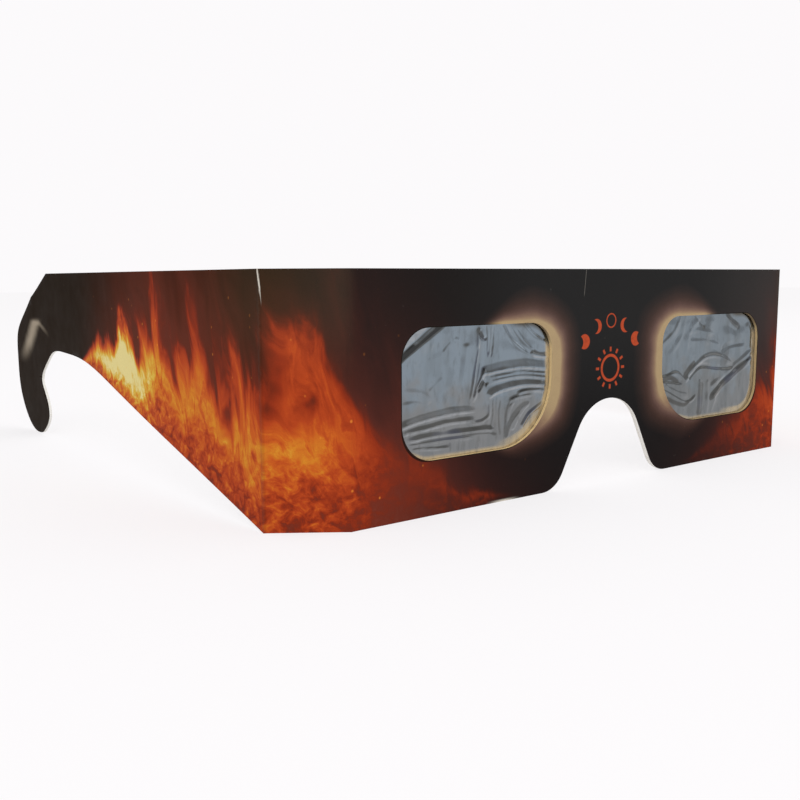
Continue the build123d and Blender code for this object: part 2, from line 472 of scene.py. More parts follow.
def printMaterial():
    look = printLook
    material, shader, place = newMaterial("glossPrint")
    u, v, _ = split(place)
    colour = addPhases(addGlow(flameColour(u, v), u, v), u, v)
    # painted shade in the temple creases: the print darkens along them
    creasePaintedShade = (u.absolute() - templeReach).near(0.0, 0.5) * 0.24
    colour = mixed(creasePaintedShade, colour, look["hookInk"])
    grain = greyRamp(noise(place, 8.0), ((0.3, 0.5), (0.7, 1.0)), "LINEAR")
    colour = mixed(0.22, colour, grain, "MULTIPLY")
    worn = wear(place, u, v)
    # painted highlight on the ear hook, then the wear of the print
    colour = layered(colour, (hookPaintedHighlight(place, u, v), look["paintedHighlight"]), (worn, look["scuffColour"]))
    cloud = noise(place, 0.12, roughness=0.6) - 0.5
    roughness = cloud * 0.20 + worn * 0.3 + look["roughness"]
    waves = noise(place, 0.09, 2.0) * 0.7 + noise(place, 2.2) * 0.012
    finishShader(shader, look, colour, roughness, waves)
    return material


# Bare card: the uncoated back of the blank and the liner
cardLook = {
    "light": (0.82, 0.805, 0.765), "shade": (0.775, 0.76, 0.72), "fibre": (0.55, 0.50, 0.42),
    "roughness": 0.88, "specular": 0.25, "reliefDepth": 0.03,
}


def bareCardMaterial():
    look = cardLook
    material, shader, place = newMaterial("bareCard")
    cloud = noise(place, 0.35, 5.0, roughness=0.6).rise(0.30, 0.75)
    u, v, depth = split(place)
    strands = noise(joined(u * 0.35, v * 2.4, depth), 2.0, 4.0, distortion=1.2)
    fibres = strands.rise(0.60, 0.80) * 0.14
    colour = layered(look["light"], (cloud, look["shade"]), (fibres, look["fibre"]))
    relief = strands * 0.6 + noise(place, 6.0, 4.0) * 0.4
    finishShader(shader, look, colour, look["roughness"], relief)
    return material


# Cut edges: pale plies, warmer round the openings, with painted shade on the openings' walls
edgeLook = {
    "core": (0.90, 0.885, 0.85), "ply": (0.74, 0.70, 0.63),
    "warmCore": (0.82, 0.63, 0.34), "warmPly": (0.66, 0.47, 0.22),
    "wallShade": (0.15, 0.105, 0.070), "wallShadeHeight": (27.0, 31.0), "wallShadeTop": 0.8, "wallShadeRight": 0.36,
    "roughness": 0.9, "specular": 0.2, "reliefDepth": 0.05,
}


def cutEdgeMaterial(name, core, ply, wallShaded=False):
    look = edgeLook
    material, shader, place = newMaterial(name)
    u, v, depth = split(place)
    layers = noise(joined(u * 0.1, v * 0.1, depth * 7.0), 1.5)
    fuzz = noise(place, 3.5, 4.0)
    colour = mixed((layers * 0.7 + fuzz * 0.3).rise(0.40, 0.66), look[core], look[ply])
    if wallShaded:
        # painted shade: darker at the top of the openings' walls and all round the right opening
        wallShade = v.rise(*look["wallShadeHeight"]) * look["wallShadeTop"]
        wallShade = wallShade.atLeast(u.rise(0.0, 1.0) * look["wallShadeRight"])
        colour = mixed(wallShade, colour, look["wallShade"])
    finishShader(shader, look, colour, look["roughness"], fuzz + layers * 0.5)
    return material


# Metal-coated film, with painted shade and painted highlights on its folds, and a painted reflection of the
# cut edge and painted shade at its rim
filmLook = {
    "blue": (0.218, 0.262, 0.300), "grey": (0.215, 0.222, 0.226), "dull": (0.130, 0.145, 0.150),
    "dark": (0.074, 0.074, 0.069), "navy": (0.056, 0.062, 0.088), "bright": (0.36, 0.375, 0.39),
    "black": (0.030, 0.030, 0.030), "paintedEdgeReflectionColour": (0.50, 0.385, 0.215), "rimShade": (0.075, 0.062, 0.042),
    "dullRight": 0.34, "weakerPaintedReflectionRight": 0.28, "roughness": 0.13, "specular": 0.5, "reliefDepth": 0.02,
}


def filmMaterial():
    look = filmLook
    material, shader, place = newMaterial("coatedFilm")
    tone = attribute(place.tree, "foldPaintedShade", "Fac")
    rim = attribute(place.tree, "rimTone", "Fac")
    u, v, _ = split(place)
    right = u.rise(0.0, 1.0)
    patch = noise(place, 0.16, roughness=0.55)
    drift = noise(joined(u, v * 0.22), 0.42, 2.0)
    low = (v - openings["left"]["middleZ"] + (patch - 0.5) * 26.0).rise(3.0, -6.0)
    shade = mixed(noise(place, 0.13, 1.0).rise(0.52, 0.66) * 0.8, look["dark"], look["navy"])
    level = noise(joined(u * 0.25, v * 1.1), 0.8, roughness=0.6)
    streaks = noise(joined(u, v * 0.35), 0.9, 4.0, roughness=0.6)
    uneven = streaks.rise(0.75, 0.40) * 0.4 + 0.6
    # painted reflection of the warm cut edge in the film along its rim, weaker in the right opening
    paintedEdgeReflection = rim.atLeast(0.0) * uneven * (right * look["weakerPaintedReflectionRight"]).flipped()
    colour = layered(
        look["blue"],
        (low, look["grey"]),
        (drift.rise(0.42, 0.70) * 0.30 + right * look["dullRight"], look["dull"]),
        # painted shade, painted highlights and painted black in the deepest creases, all from the fold tone
        (tone.rise(0.0, 0.9) * 0.40, shade),
        (tone.rise(0.12, 0.80) * (level * 0.7 + 0.45), shade),
        (tone.rise(0.95, 1.3) * 0.8, look["black"]),
        (tone.rise(-0.15, -1.3) * (level * 1.5 - 0.05), look["bright"]),
        (streaks.rise(0.50, 0.72) * 0.26, look["dark"]),
        (paintedEdgeReflection, look["paintedEdgeReflectionColour"]),
        ((rim * -1.0).atLeast(0.0), look["rimShade"]),
    )
    # less metallic where the edge reflection is painted, so that its colour shows
    plug((paintedEdgeReflection * 0.9).flipped(), shader.inputs["Metallic"])
    relief = noise(place, 1.3) * 0.5 + noise(place, 7.0) * 0.06
    finishShader(shader, look, colour, patch * 0.08 + look["roughness"] - 0.04, relief)
    return material


# Dry glue
glueLook = {
    "colour": (0.74, 0.70, 0.58), "streak": (0.86, 0.84, 0.76),
    "roughness": 0.35, "specular": 0.5, "reliefDepth": 0.04,
}


def glueMaterial():
    look = glueLook
    material, shader, place = newMaterial("dryGlue")
    streaks = noise(place, 0.8, 4.0, distortion=0.8)
    colour = mixed(streaks, look["colour"], look["streak"])
    finishShader(shader, look, colour, streaks * 0.3 + look["roughness"], streaks)
    return material


materials = {
    "print": printMaterial(),
    "bare": bareCardMaterial(),
    "edge": cutEdgeMaterial("cutEdge", "core", "ply"),
    "openingEdge": cutEdgeMaterial("openingEdge", "warmCore", "warmPly", wallShaded=True),
    "film": filmMaterial(),
    "glue": glueMaterial(),
}
print("materials made:", ", ".join(materials))


# The slight warp that card takes, in mm
warp = {"front": 0.16, "frontWave": 31.0, "temple": 0.45, "templeWave": 47.0}


def frontWarp(x, z):
    # outward warp of the front and all that is glued to it, none at its creases
    hold = max(0.0, 1.0 - (x / frontReach) ** 2) ** 1.5
    return warp["front"] * hold * (sin(x / warp["frontWave"] * 2 + 0.9) + 0.6 * sin(z / 19.0 + x / 43.0))


def templeWarp(along, z):
    # a bow and a gentle wave along the temple, none at its crease
    share = along / templeLength
    wave = sin(along / warp["templeWave"] * 2 + 0.4) * (0.6 + 0.4 * sin(z / 13.0))
    return warp["temple"] * min(1.0, share * 3) * wave * share * 1.4


def warpOf(nodeName, along, z):
    if nodeName.startswith("temple"):
        return templeWarp(along, z)
    if nodeName.startswith("side_return"):
        return 0.0
    return frontWarp(along, z)


def placed(name, data):
    holder = bpy.data.objects.new(name, data)
    bpy.context.scene.collection.objects.link(holder)
    return holder


def finishPiece(bm, mesh, sharpAngle):
    bm.to_mesh(mesh)
    bm.free()
    mesh.set_sharp_from_angle(angle=radians(sharpAngle))
    return placed(mesh.name, mesh)


def stitchedPiece(name, bm, rings, materialName, sharpAngle):
    # closed rings of vertices, joined one to the next; half of each runs back behind the other half
    count = len(rings[0])
    for lower, upper in zip(rings, rings[1:]):
        for here in range(count):
            there = (here + 1) % count
            bm.faces.new((lower[here], lower[there], upper[there], upper[here]))
    for ring in (rings[0], rings[-1]):
        for here in range(count // 2 - 1):
            bm.faces.new((ring[here], ring[here + 1], ring[count - 2 - here], ring[count - 1 - here]))
    bmesh.ops.recalc_face_normals(bm, faces=bm.faces)
    for face in bm.faces:
        face.smooth = True
    mesh = bpy.data.meshes.new(name)
    mesh.materials.append(materials[materialName])
    return finishPiece(bm, mesh, sharpAngle)


# Card pieces: the solids' own shapes, cut into a grid that can warp
cutting = {
    "step": 2.4, "snap": 0.02, "weld": 0.002, "sharpAngle": 35.0, "facing": 0.3,
    "openingReach": 0.05, "creaseReach": 0.5, "beadDepth": 0.1,
}


def atOpening(middle):
    reach = cutting["openingReach"]
    return any(
        abs(middle.x - opening["middleX"]) < opening["halfWidth"] + reach
        and abs(middle.z - opening["middleZ"]) < opening["halfHeight"] + reach
        for opening in openings.values()
    )


def atCrease(middle):
    reach = cutting["creaseReach"] * mm
    return any(
        abs(middle.x - crease.x) < reach and abs(middle.y - crease.y) < reach
        for crease in creases.values()
    )


# Materials of a piece's outside, its inside, its cut edge and the edge of its openings
faceMaterials = {
    "printed_card": ("print", "bare", "edge", "openingEdge"),
    "plain_card": ("bare", "bare", "edge", "edge"),
    "glue": ("glue",) * 4,
}


def cardPiece(nodeName, pieceName, slotName):
    panel = panels.get(nodeName, panels["front_panel"])
    start, along, outward = panel["start"], panel["along"], panel["outward"]
    mesh = nodes[nodeName].data.copy()
    mesh.name = pieceName
    mesh.materials.clear()
    names = list(dict.fromkeys(faceMaterials[slotName]))
    for name in names:
        mesh.materials.append(materials[name])
    outer, inner, rim, openingRim = map(names.index, faceMaterials[slotName])

    bm = bmesh.new()
    bm.from_mesh(mesh)
    bmesh.ops.remove_doubles(bm, verts=bm.verts, dist=cutting["weld"] * mm)
    for direction in (along, Vector((0, 0, 1))):
        places = [(vert.co - start).dot(direction) for vert in bm.verts]
        step = cutting["step"] * mm
        for count in range(ceil(min(places) / step), ceil(max(places) / step)):
            bmesh.ops.bisect_plane(
                bm, geom=bm.verts[:] + bm.edges[:] + bm.faces[:], dist=cutting["snap"] * mm,
                plane_co=start + direction * (count * step), plane_no=direction,
            )
    bm.normal_update()
    for face in bm.faces:
        facing = face.normal.dot(outward)
        middle = face.calc_center_median()
        face.smooth = True
        face.material_index = rim
        if abs(facing) > cutting["facing"]:
            face.material_index = outer if facing > 0 else inner
        elif nodeName == "front_panel" and atOpening(middle / mm):
            face.material_index = openingRim
        if abs(face.normal.z) < 0.5 and atCrease(middle):
            inFront = (middle - start).dot(outward) > -cutting["beadDepth"] * mm
            face.material_index = outer if inFront else inner
    layer = bm.verts.layers.float_vector.new("blankPlace")
    for vert in bm.verts:
        offset = vert.co - start
        run, depth = offset.dot(along) / mm, offset.dot(outward) / mm
        vert[layer] = (panel["side"] * (panel["reach"] + run), vert.co.z / mm, depth)
        vert.co += outward * (warpOf(nodeName, run, vert.co.z / mm) * mm)
    piece = finishPiece(bm, mesh, cutting["sharpAngle"])
    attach(piece, panel["body"])
    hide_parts(nodeName)
    print("card piece:", pieceName, len(mesh.polygons), "faces")


cardPiece("front_panel", "printedFront", "printed_card")
for sideName in sides:
    title = sideName.capitalize()
    cardPiece("side_return_" + sideName, "printedReturn" + title, "printed_card")
    cardPiece("temple_" + sideName, "printedTemple" + title, "printed_card")
    cardPiece("film_glue_" + sideName, "filmGlue" + title, "glue")
cardPiece("liner_card", "plainLiner", "plain_card")
cardPiece("liner_glue", "linerGlue", "glue")


# The printed skin over each crease, so that the picture doesn't stop there
creaseSkin = {
    "reach": 0.95, "runs": (0.6, 0.4), "proud": 0.012, "overBead": 0.362, "depth": 0.06,
    "beadSpan": 0.24,  # how much of the picture the bead takes
    "cardDepth": 0.3, "turns": 9, "rows": 42,
}


def creaseStrip(pieceName, firstPanel, secondPanel, slope):
    # a strip from panel to panel round the bead; slope lets its foot follow the temple's lower edge
    look = creaseSkin
    first, second = panels[firstPanel], panels[secondPanel]
    crease, side = second["start"], second["side"]
    firstOut, secondOut, secondAlong = first["outward"], second["outward"], second["along"]
    firstAlong = first["along"] * (side if firstPanel == "front_panel" else 1)
    face = cardThickness / 2 + look["proud"]
    bead = look["overBead"]
    flat = sqrt(bead * bead - face * face)
    runs = (look["reach"], *look["runs"], flat)
    section = [(firstAlong * -run + firstOut * face, -run) for run in runs]
    for turn in np.linspace(0, 1, look["turns"]):
        direction = (firstOut * (1 - turn) + secondOut * turn).normalized()
        section.append((direction * bead, (turn - 0.5) * look["beadSpan"]))
    section += [(secondAlong * run + secondOut * face, run) for run in reversed(runs)]
    outline = [(place, run, 0.0) for place, run in section]
    outline += [(place * ((place.length - look["depth"]) / place.length), run, -look["depth"])
                for place, run in reversed(section)]

    bm = bmesh.new()
    layer = bm.verts.layers.float_vector.new("blankPlace")
    rings = []
    for share in np.linspace(0, 1, look["rows"] + 1):
        ring = []
        for place, run, depth in outline:
            low = max(0.0, run) * slope
            z = low + (cardHeight - low) * share
            vert = bm.verts.new(crease + Vector((place.x, place.y, z)) * mm)
            vert[layer] = (side * (second["reach"] + run), z, look["cardDepth"] + depth)
            ring.append(vert)
        rings.append(ring)
    piece = stitchedPiece(pieceName, bm, rings, "print", cutting["sharpAngle"])
    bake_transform(piece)


for sideName in sides:
    title, sideReturn = sideName.capitalize(), "side_return_" + sideName
    creaseStrip("frontCrease" + title, "front_panel", sideReturn, 0.0)
    creaseStrip("templeCrease" + title, sideReturn, "temple_" + sideName, printLook["lowerEdgeRise"])
print("crease skins made")


# Wrinkled films
# A fold: its lift, how far it falls away to the left and to the right of its path, then the path
# A band: how dark its painted shade is (below 0, a painted highlight), half its width, then the path
# A path is x and z in turn, in mm from the middle of the opening as seen from the front
filmShape = {
    "step": 0.2, "endGap": 0.001, "edgeHold": 0.35, "holdReach": 0.7, "freeReach": 1.6,
    "paintedLightFrom": (-0.45, 0.90), "toneGain": {"left": 4.0, "right": 2.9}, "toneLimit": 1.3,
    "waveSlope": 0.018, "waveSeed": 11, "waveLengths": (2.6, 9.5, 14), "bandSoft": 0.22,
    "lift": {"left": 1.0, "right": 0.72}, "curvePieces": 14, "taper": 0.14, "sharpAngle": 60.0,
}
# The rim mirrors the warm cut edge of the card towards the lower right, and shade at the upper right
rimShape = {
    "right": (0.80, 0.92), "rightTop": (0.80, 0.60), "rightWidth": {"left": 1.15, "right": 1.5},
    "foot": (-0.84, -0.92), "footWidth": 0.75,
    "corner": (1.15, 1.45), "cornerWidth": {"left": 1.9, "right": 1.6}, "soft": 0.45,
    "shade": (1.35, 1.55), "shadeTop": (0.55, 0.75), "shadeReach": (1.0, 0.2),
}

leftFolds = [
    (0.26, 1.15, 0.32, -18.5, -5.8, -16.1, -5.1, -12.8, -4.5, -9.2, -4.1, -5.3, -3.8, 0.1, -3.9),
    (0.19, 0.85, 0.3, -18.5, -7, -15.9, -6.4, -11.6, -6, -7.3, -5.5, -3.3, -5.5, -0.3, -5.6),
    (0.21, 0.95, 0.3, -18.5, -8, -11.6, -7.5, -7.3, -7.5, -3.1, -7.5, 2.1, -7.6, 4.7, -8.1),
    (0.1, 0.3, 0.32, -17.5, -8.5, -10.4, -8.4, -6.3, -8.4, -0.5, -8.5),
    (0.12, 0.4, 0.35, -15, -9.3, -12.8, -9.3, -9.7, -9.6, -6.5, -9.8),
    (0.28, 1.45, 0.32, 0.7, 2.4, 1.9, 2.6, 3.3, 2.7, 7.2, 3, 11.3, 3.1, 18.5, 2.4),
    (0.1, 0.32, 0.3, 3.8, 1.9, 7.3, 2.1, 11.3, 2.2, 18.5, 1.5),
    (0.12, 0.34, 0.36, 4.1, 1.2, 8.6, 1.6, 12.8, 1.5, 18.5, 0.6),
    (0.27, 1.25, 0.32, 2.6, -1.9, 3.2, -1.3, 4.9, -0.8, 8.6, -0.3, 12.8, -0.2, 18.5, -0.8),
    (0.18, 0.55, 0.45, 9.4, -1.7, 11.4, -1.3, 14.5, -1.3, 16.4, -1.6, 18, -1.9),
    (0.16, 0.5, 0.45, 6.5, -3.4, 6.9, -3, 8.7, -2.4, 11.4, -2.1, 13.9, -2),
    (0.14, 0.5, 0.4, -3.3, -5.9, 0.2, -6, 1.8, -5.5, 2.6, -4.7, 2.9, -2.2),
    (0.14, 0.32, 0.4, 3.5, -2, 3.5, -4.4, 3.6, -7),
    (0.12, 0.4, 0.3, 4.4, -1.8, 4.3, -4.4, 4.5, -7.2),
    (0.2, 0.6, 0.45, 10.6, -8, 11, -7.3, 12.6, -5.6, 14.9, -4.4, 16.8, -3.6),
    (0.16, 0.45, 0.6, 6.9, -9.4, 7.1, -8.7, 8.2, -6.8, 10.1, -4.8),
    (0.14, 0.6, 0.45, 6.9, -6.8, 7.1, -5.9, 7.6, -4, 8.7, -2.7),
    (0.14, 0.6, 0.45, 8.4, -8.2, 8.8, -7.3, 10.9, -4.7, 12.8, -3.4),
    (0.12, 0.45, 0.4, 12.2, -8.2, 14, -6.6, 16.4, -5.6),
    (0.16, 0.26, 0.6, 0.1, 11.8, 0, 9.2, -0.4, 6, -0.9, 2.6, -1.7, -2),
    (0.16, 0.6, 0.26, 1.1, 3.6, 0.9, 2.4, -0.3, 0.2, -1.3, -2.2),
    (-0.22, 0.3, 0.55, 0.3, 10.4, 0.6, 9.3, 1.9, 8.9),
    (0.13, 0.24, 0.34, 2.4, 11.8, 2.4, 8.1, 2.7, 5.6),
    (-0.13, 0.24, 0.34, 3.5, 11.8, 3.3, 8.1, 2.9, 5.4),
    (-0.26, 0.5, 0.42, -0.3, -0.6, 1.2, 1.3, 2, 0.6),
    (0.12, 0.22, 0.5, 5.7, 11.8, 7.4, 8.9, 9.9, 7, 12.4, 5.3),
    (0.12, 0.22, 0.5, 7.8, 11.8, 10.7, 8.5, 13.2, 6.2),
    (0.15, 0.26, 0.8, 10.4, 11.8, 14, 8.8, 18.4, 6.8),
    (0.24, 0.36, 0.55, 12.6, 5.9, 14, 5.3, 16.6, 4.9, 18.4, 4.8),
    (0.16, 1, 2.4, -18.5, 5.2, -16.1, 6.3, -14.3, 7.3, -11.6, 8.8, -9.2, 10.3, -6.6, 12),
    (0.14, 0.3, 0.55, -17, 6.8, -13.4, 9, -9.3, 11.6),
    (0.09, 1.1, 1.5, -5.2, 9.4, -5.4, 7.9, -5.6, 3.6, -6.8, -0.8),
    (0.1, 0.9, 1.2, -2.8, 8.2, -2.9, 6.5, -3.4, 2.7, -4.4, -1.4),
    (0.07, 0.45, 0.6, -8.1, 6.7, -7.4, 7.5, -6.3, 8.5),
    (-0.08, 0.3, 0.3, -5.8, 9.4, -5.4, 8.5),
    (0.05, 0.3, 0.5, -10.6, 8.6, -10.8, 7, -10.9, 5.2),
    (0.07, 0.7, 0.9, -11.2, 0.2, -10.4, 0.8, -8, 2.5),
    (0.08, 0.9, 1.3, -18, 0.6, -13.9, 0.4, -12, -0.2, -10.9, -1.6),
    (0.06, 0.6, 0.9, -17.5, -1.6, -14, -1.4, -11.4, -2.6),
]

rightFolds = [
    (0.36, 0.6, 1.25, 1.6, -7.2, 2.3, -6.4, 6.8, -3.4, 15, 0.3, 18.4, 1.9),
    (0.18, 0.9, 0.8, 1.6, -5, 2.4, -4.1, 9.8, -0.7, 15.2, 1.9, 18.4, 3.4),
    (0.26, 0.8, 0.6, -8.4, -3, -7.4, -2.1, -4.6, 0.2, -1.1, 1.9, 3.9, 1.8, 9.4, -0.4),
    (-0.26, 0.75, 0.65, -7.2, -2.4, -6.4, -1.6, -2.8, 0.2, 2.8, -0.4, 9.8, -0.8),
    (0.28, 0.45, 0.8, -18.4, -2, -15.4, -1.5, -11.5, -0.9, -8, -3.1),
    (-0.26, 0.7, 0.5, -18.4, -2.2, -15.4, -2.2, -9.1, -3.1),
    (0.26, 0.5, 0.5, -17.6, -4, -14.7, -4.8, -9.4, -7.1, -6.5, -7.4, -4.2, -6.1),
    (0.12, 0.6, 0.8, -15.4, -3.2, -13.9, -4, -10, -5.4, -6.5, -6),
    (0.15, 0.8, 1.1, -8.6, 12, -9.3, 10.4, -10.2, 6.9, -14.9, 2.2),
    (0.15, 0.8, 1.1, -3.6, 12, -4.6, 10, -7.4, 7.5, -8.4, 2.2),
    (-0.2, 0.8, 0.6, -5.6, 11.8, -4.6, 10.6, -1.9, 8.6),
    (0.22, 0.9, 1.1, 5, 11.8, 6.4, 10.5, 10.8, 8.1),
    (-0.2, 1.1, 0.8, 4.6, 3.2, 8.1, 4.2, 13.6, 4.5),
    (0.12, 0.7, 0.9, -7.6, 5.6, -1.3, 5.4, 4.2, 4.2),
    (0.12, 0.8, 0.7, -7.8, 7.6, -3.8, 7.8, 2.2, 6.7),
    (0.16, 0.8, 0.9, -3, -2.6, -2.9, -6.5, -3.1, -11.8),
    (0.14, 0.8, 0.9, -0.1, -2.8, 0, -7, -0.3, -11.8),
    (0.1, 0.7, 0.7, 2.9, -7.2, 2.2, -8.6, 1.5, -10.4),
    (0.16, 0.7, 1.2, 14.2, 9, 15.4, 6, 15.6, 2.8),
    (0.2, 0.6, 1.2, -17.4, 5, -12.9, 8, -10.2, 12),
    (0.1, 0.9, 1.2, 4.6, -2.2, 8, -1, 12.4, -4.4),
]

leftBands = [
    (-1.2, 1.3, -19.4, 6.6, -15, 10, -11.6, 12.8),
    (1.3, 0.66, -19.6, 4.3, -16.3, 6.9, -12.3, 9.5, -8.9, 11.4, -6.2, 12.9),
    (0.1, 0.12, -14.5, 8.5, -12.6, 9.7, -9.9, 11.3),
    (0.22, 2, 5.6, -1.4, 5.4, -5, 5.2, -9.6),
    (0.45, 0.6, 1.4, 3.3, 5, 4.1, 10.5, 4.3, 18, 3.6),
    (0.9, 0.15, 2.6, 2, 5.3, 2.4, 8, 2.6, 10.7, 2.7, 18, 1.8),
    (0.75, 0.18, 3.1, 1.3, 6.6, 1.6, 9.3, 1.8, 12.1, 1.7, 18, 1),
    (-1.1, 0.12, 1.9, 0.4, 5.3, 1.1, 9.3, 1.3, 12.1, 1.2, 18, 0.4),
    (0.8, 0.2, -13.6, -8, -6.7, -7.9, -0.5, -7.9, 2.5, -8.1, 4.6, -8.6),
    (-0.9, 0.09, 2.8, -2, 2.8, -4.4, 2.5, -6.4),
    (0.75, 0.09, 3.3, -2.4, 3.3, -5, 2.9, -7),
    (0.6, 0.14, 5.3, -2.4, 5, -5.6, 5.4, -8.8),
    (0.65, 0.18, 7.7, -2.2, 6.8, -4.8, 6.4, -8.6),
    (-0.8, 0.09, 8.8, -3, 7.5, -5.4, 7, -8.8),
    (-0.8, 0.09, 11.8, -3.6, 10, -5.4, 9, -8),
    (0.8, 0.11, 1.8, 11.2, 2, 8, 2.2, 5.4),
    (-0.6, 0.08, 2.3, 11.2, 2.4, 8.6, 2.3, 6.4),
    (0.7, 0.09, 2.8, 11.2, 2.7, 8.5, 2.4, 5.8),
    (0.75, 0.1, 5.6, 11.2, 7.4, 8.7, 9.4, 6.7, 12.5, 5.2),
    (-0.8, 0.09, 6.6, 11.2, 9, 8.2, 11.4, 6.4),
    (0.8, 0.1, 7.5, 11.2, 10, 8.4, 12.3, 6.6, 14.4, 5.8),
    (0.75, 0.09, 10.4, 11.2, 13.4, 8.7, 16.6, 7.4),
    (0.5, 0.1, -6.4, -8.4, -6.5, -9.4, -6.4, -10.6),
    (0.5, 0.14, -4.6, -8.6, -4.5, -9.6, -4.6, -10.6),
    (0.4, 0.45, -16.5, -4.6, -11, -3.6, -5, -3.2, -0.6, -3.4),
    (1, 0.38, -0.2, 10.8, 0.3, 9.8, 1.3, 8.9),
    (0.8, 0.2, -0.2, 7.3, -0.6, 5.2, -1.2, 1.8, -2.1, -1.9),
    (0.7, 0.16, 0.3, 4.8, -0.3, 1.9, -1.4, -1.4),
    (0.85, 0.4, 0.2, 0.1, 0.9, 1, 1.6, 1.2),
    (0.85, 0.26, 13.4, 6.2, 15.2, 5.6, 18.2, 5.6),
    (0.5, 0.55, 6.6, -9.6, 7.4, -7, 9.4, -4.6, 12.4, -3.2),
]

rightBands = [
    (0.95, 0.85, 0.6, -7.6, 4.6, -4.9, 9.6, -2.2, 14.6, 0.2),
    (0.85, 0.55, -16.8, -2.4, -13.6, -1.7, -10.4, -3.1),
    (0.8, 0.6, -9, -1.9, -6.6, 0.2, -5, 1.2),
    (0.75, 0.5, -15.6, -5.6, -11.6, -7.2, -8.4, -7.9, -6.6, -7.2),
    (0.55, 0.8, 6, 11.6, 8.4, 9.6, 11.6, 8),
    (0.5, 1, -2.4, -3.2, -2.8, -6.8, -3, -11),
    (0.35, 1.3, 5.2, 4.2, 6.4, 2.8, 4.8, -0.6),
]


def climb(values, low, high):
    # from 0 at low to 1 at high, whichever of the two is larger, and level beyond them
    return np.clip((values - low) / (high - low), 0, 1)


def curveThrough(points):
    # a smooth line through given points
    padded = np.pad(points, ((1, 1), (0, 0)), mode="edge")
    t = np.linspace(0, 1, filmShape["curvePieces"], endpoint=False)[:, None]
    pieces = [
        0.5 * (2 * b + (c - a) * t + (2 * a - 5 * b + 4 * c - d) * t * t + (3 * b - a - 3 * c + d) * t ** 3)
        for a, b, c, d in zip(padded, padded[1:], padded[2:], padded[3:])
    ]
    return np.concatenate((*pieces, points[-1:]))


def alongPath(places, path, reach):
    # which places lie within reach of a path, and for those their distance, side and share along it
    line = curveThrough(np.reshape(path, (-1, 2)))
    close = np.all((places > line.min(axis=0) - reach) & (places < line.max(axis=0) + reach), axis=1)
    near = places[close]
    best = np.full(len(near), np.inf)
    turn, share = np.zeros(len(near)), np.zeros(len(near))
    for count, (start, end) in enumerate(zip(line, line[1:])):
        run = end - start
        toPlace = near - start
        along = np.clip(toPlace @ run / max(run @ run, 1e-9), 0, 1)
        distance = np.hypot(*(toPlace - along[:, None] * run).T)
        closer = distance < best
        best[closer] = distance[closer]
        turn[closer] = (run[0] * toPlace[:, 1] - run[1] * toPlace[:, 0])[closer]
        share[closer] = ((count + along) / (len(line) - 1))[closer]
    return close, best, turn, share


def endTaper(share):
    return climb(share, 0, filmShape["taper"]) * climb(share, 1, 1 - filmShape["taper"])


def foldHeight(places, fold):
    # a sharp-crested fold, highest along its path
    height, leftWidth, rightWidth, *path = fold
    close, distance, turn, share = alongPath(places, path, max(leftWidth, rightWidth))
    lift = np.zeros(len(places))
    lift[close] = height * climb(distance, np.where(turn > 0, leftWidth, rightWidth), 0) * endTaper(share)
    return lift


def addBands(places, tone, bands):
    # each band covers the painted tone under it with its own, shade above 0 and highlight below 0, thinning
    # out towards its ends
    soft = filmShape["bandSoft"]
    for level, halfWidth, *path in bands:
        close, distance, _, share = alongPath(places, path, halfWidth + soft)
        narrowed = halfWidth * endTaper(share) ** 0.5
        cover = climb(distance, narrowed + soft, narrowed - soft) * climb(endTaper(share) * 4, 0, 1)
        tone[close] = tone[close] * (1 - cover) + level * cover


def softened(sheet):
    # each place becomes the mean of itself and its neighbours
    padded = np.pad(sheet, 1, mode="edge")
    return (padded[1:-1, 1:-1] * 4 + padded[:-2, 1:-1] + padded[2:, 1:-1]
            + padded[1:-1, :-2] + padded[1:-1, 2:]) / 8


def gentleWaves(places):
    # slow uneven waves all over a film, from a fixed seed
    spread = np.random.RandomState(filmShape["waveSeed"])
    lift = np.zeros(len(places))
    for length in np.linspace(*filmShape["waveLengths"]):
        turn = spread.uniform(0, pi)
        beat = places @ (cos(turn), sin(turn)) * (2 * pi / length) + spread.uniform(0, 2 * pi)
        bend = places @ (-sin(turn), cos(turn)) / length
        lift += np.sin(beat + 1.4 * np.sin(bend * 2.0)) * length / (2 * pi) * filmShape["waveSlope"]
    return lift


def distanceInside(opening, places):
    # how far places, measured from the opening's middle, lie inside its outline, below 0 outside it
    lower, inner = places[:, 1] < 0, places[:, 0] * -opening["side"] > 0
    radius = np.array(openingShape["radii"])[lower.astype(int), inner.astype(int)]
    over = np.abs(places) - (opening["halfWidth"], opening["halfHeight"]) + radius[:, None]
    return radius - np.hypot(*np.maximum(over, 0).T) - np.minimum(over.max(axis=1), 0)


def cornerInset(gap, radius):
    # how far a rounded corner stands in from its side, gap away from its end
    return radius - sqrt(max(0.0, radius * radius - (radius - gap) ** 2)) if gap < radius else 0.0


def filmRow(opening, z, growth):
    # left and right end of the film at height z, for an outline grown by growth
    top = opening["middleZ"] + opening["halfHeight"] + growth - z
    bottom = z - opening["middleZ"] + opening["halfHeight"] + growth
    outer, inner = (
        max(cornerInset(top, upper + growth), cornerInset(bottom, lower + growth))
        for upper, lower in zip(*openingShape["radii"])
    )
    half = opening["halfWidth"] + growth
    left, right = (outer, inner) if opening["side"] < 0 else (inner, outer)
    return opening["middleX"] - half + left, opening["middleX"] + half - right


